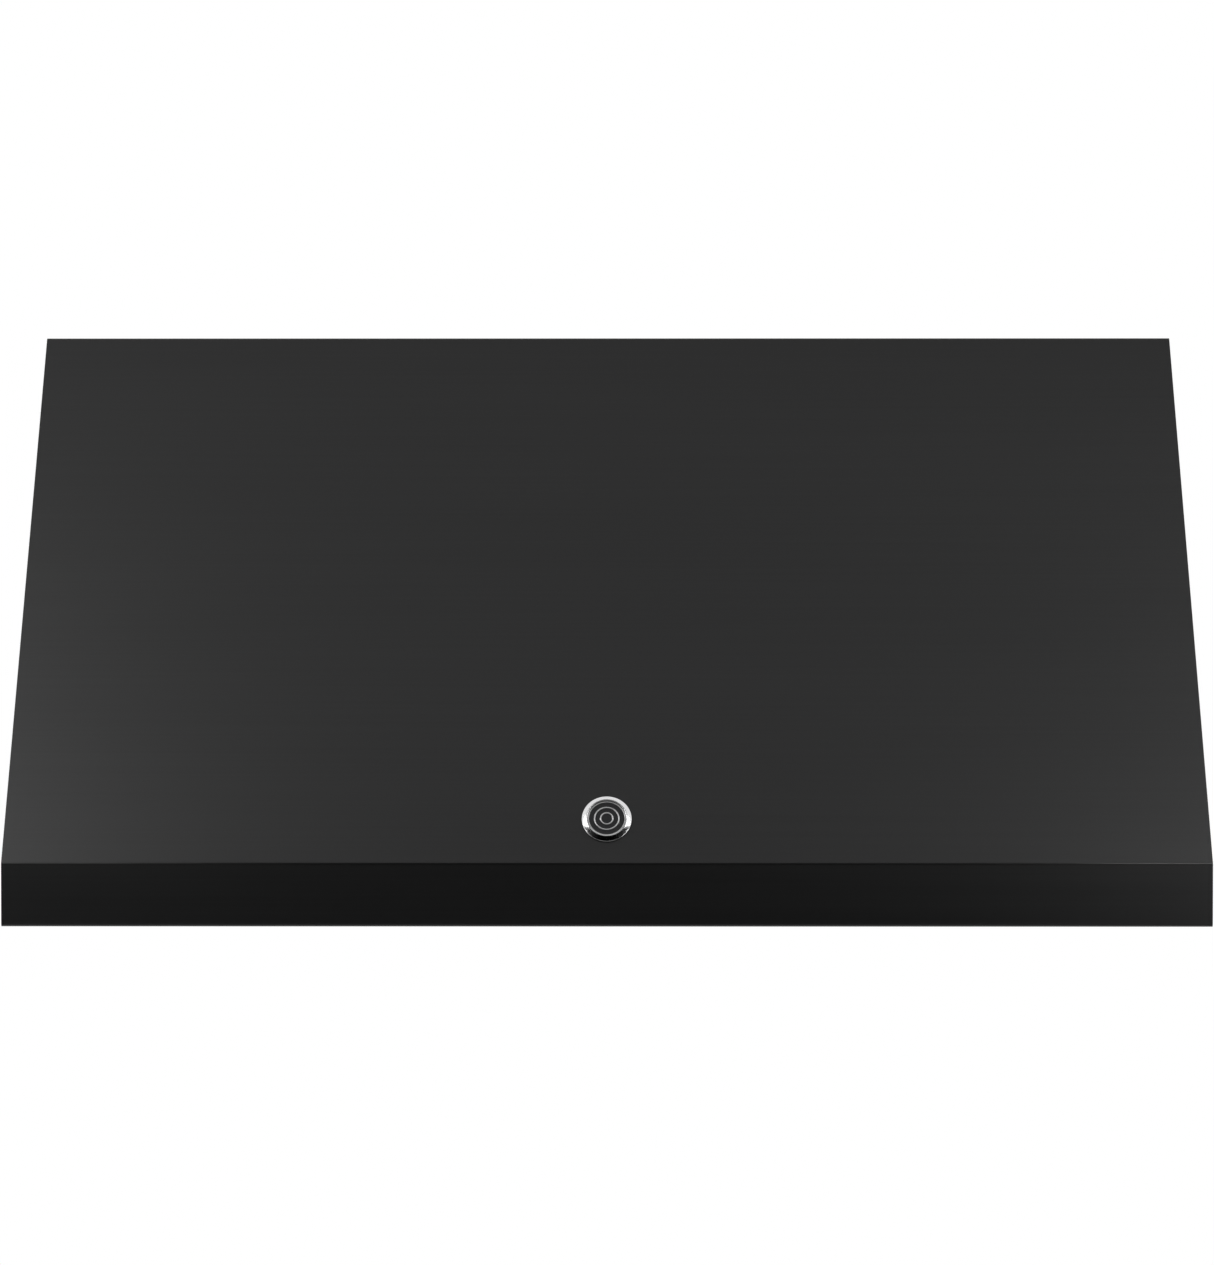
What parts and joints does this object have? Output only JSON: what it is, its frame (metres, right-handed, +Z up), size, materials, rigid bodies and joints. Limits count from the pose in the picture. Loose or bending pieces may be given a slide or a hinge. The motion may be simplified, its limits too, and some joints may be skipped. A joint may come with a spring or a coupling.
{
  "type": "range hood",
  "caption": "Wall-mounted canopy range hood with a sloping front, tilting baffle filters, grease tray, lamps, push buttons and a twin blower under a top duct collar.",
  "frame": {"origin": "middle of the footprint at the height of the bottom rim", "axes": "+X along the hood to its right seen from the front, +Y towards the wall, +Z up"},
  "size_m": [0.914, 0.61, 0.4592],
  "materials": {
    "slate": "matt black slate with a faint horizontal grain",
    "galvanised": "dull galvanised sheet",
    "steel": "plated steel",
    "stainless": "brushed stainless sheet",
    "chrome": "bright",
    "badge_dark": "satin dark",
    "black_plastic": "fine texture",
    "button": "satin",
    "lens": "frosted",
    "board": "solder resist",
    "motor_paint": "satin",
    "rubber": "matt",
    "capacitor": "drawn can"
  },
  "bodies": {
    "hood": {"front_panel": "slate", "left_side_panel": "slate", "right_side_panel": "slate", "top_panel": "slate", "back_panel": "galvanised", "badge_ring": "chrome", "badge_disc": "badge_dark", "duct_cover": "galvanised", "casing_screws": "steel", "light_shelf": "stainless", "left_liner": "stainless", "right_liner": "stainless", "rear_rail": "stainless", "filter_clips": "stainless", "tray_clips": "stainless", "lamp_housing_left": "galvanised", "lamp_housing_right": "galvanised", "lamp_module_left": "black_plastic", "lamp_module_right": "black_plastic", "lamp_lens_left": "lens", "lamp_lens_right": "lens", "lamp_ring_left": "stainless", "lamp_ring_right": "stainless", "control_strip": "black_plastic", "control_board": "board", "control_switches": "black_plastic", "control_box": "black_plastic", "left_scroll": "galvanised", "right_scroll": "galvanised", "inlet_rings": "galvanised", "motor": "motor_paint", "motor_grommets": "rubber", "capacitor": "capacitor", "capacitor_strap": "galvanised", "plenum": "galvanised", "duct_collar": "galvanised", "damper_rod": "steel", "junction_box": "galvanised", "junction_cover": "galvanised", "wiring": "rubber"},
    "filter_left": {"filter_frame_left": "stainless", "filter_baffles_left": "stainless"},
    "handle_left": {"filter_handle_left": "stainless"},
    "filter_center": {"filter_frame_center": "stainless", "filter_baffles_center": "stainless"},
    "handle_center": {"filter_handle_center": "stainless"},
    "filter_right": {"filter_frame_right": "stainless", "filter_baffles_right": "stainless"},
    "handle_right": {"filter_handle_right": "stainless"},
    "button_light": {"button_light": "button"},
    "button_off": {"button_off": "button"},
    "button_low": {"button_low": "button"},
    "button_medium": {"button_medium": "button"},
    "button_high": {"button_high": "button"},
    "rotor": {"motor_shaft": "steel", "impeller_left": "galvanised", "impeller_right": "galvanised"},
    "tray": {"grease_tray": "stainless"},
    "flap_front": {"damper_flap_front": "galvanised"},
    "flap_rear": {"damper_flap_rear": "galvanised"}
  },
  "joints": [
    {"name": "filter_tilt_left", "type": "hinge", "parent": "hood", "child": "filter_left", "pos_m": [-0.28667, 0.212, 0.061], "axis": [1, 0, 0], "range_deg": [0, 30]},
    {"name": "handle_fold_left", "type": "hinge", "parent": "filter_left", "child": "handle_left", "pos_m": [-0.28667, -0.17726, 0.11884], "axis": [1, 0, 0], "range_deg": [-20, 75]},
    {"name": "filter_tilt_center", "type": "hinge", "parent": "hood", "child": "filter_center", "pos_m": [0, 0.212, 0.061], "axis": [1, 0, 0], "range_deg": [0, 30]},
    {"name": "handle_fold_center", "type": "hinge", "parent": "filter_center", "child": "handle_center", "pos_m": [0, -0.17726, 0.11884], "axis": [1, 0, 0], "range_deg": [-20, 75]},
    {"name": "filter_tilt_right", "type": "hinge", "parent": "hood", "child": "filter_right", "pos_m": [0.28667, 0.212, 0.061], "axis": [1, 0, 0], "range_deg": [0, 30]},
    {"name": "handle_fold_right", "type": "hinge", "parent": "filter_right", "child": "handle_right", "pos_m": [0.28667, -0.17726, 0.11884], "axis": [1, 0, 0], "range_deg": [-20, 75]},
    {"name": "tray_drop", "type": "slide", "parent": "hood", "child": "tray", "axis": [0, 0, -1], "range_m": [0, 0.06]},
    {"name": "press_light", "type": "slide", "parent": "hood", "child": "button_light", "axis": [0, 0, 1], "range_m": [0, 0.0015], "stiffness_N_per_m": 400, "springref_m": -0.002},
    {"name": "press_off", "type": "slide", "parent": "hood", "child": "button_off", "axis": [0, 0, 1], "range_m": [0, 0.0015], "stiffness_N_per_m": 400, "springref_m": -0.002},
    {"name": "press_low", "type": "slide", "parent": "hood", "child": "button_low", "axis": [0, 0, 1], "range_m": [0, 0.0015], "stiffness_N_per_m": 400, "springref_m": -0.002},
    {"name": "press_medium", "type": "slide", "parent": "hood", "child": "button_medium", "axis": [0, 0, 1], "range_m": [0, 0.0015], "stiffness_N_per_m": 400, "springref_m": -0.002},
    {"name": "press_high", "type": "slide", "parent": "hood", "child": "button_high", "axis": [0, 0, 1], "range_m": [0, 0.0015], "stiffness_N_per_m": 400, "springref_m": -0.002},
    {"name": "rotor_spin", "type": "hinge", "parent": "hood", "child": "rotor", "pos_m": [0, 0.058, 0.2396], "axis": [1, 0, 0], "continuous": true},
    {"name": "flap_front_open", "type": "hinge", "parent": "hood", "child": "flap_front", "pos_m": [0, 0.118, 0.4068], "axis": [-1, 0, 0], "range_deg": [0, 78]},
    {"name": "flap_rear_open", "type": "hinge", "parent": "hood", "child": "flap_rear", "pos_m": [0, 0.118, 0.4068], "axis": [1, 0, 0], "range_deg": [0, 78]}
  ]
}
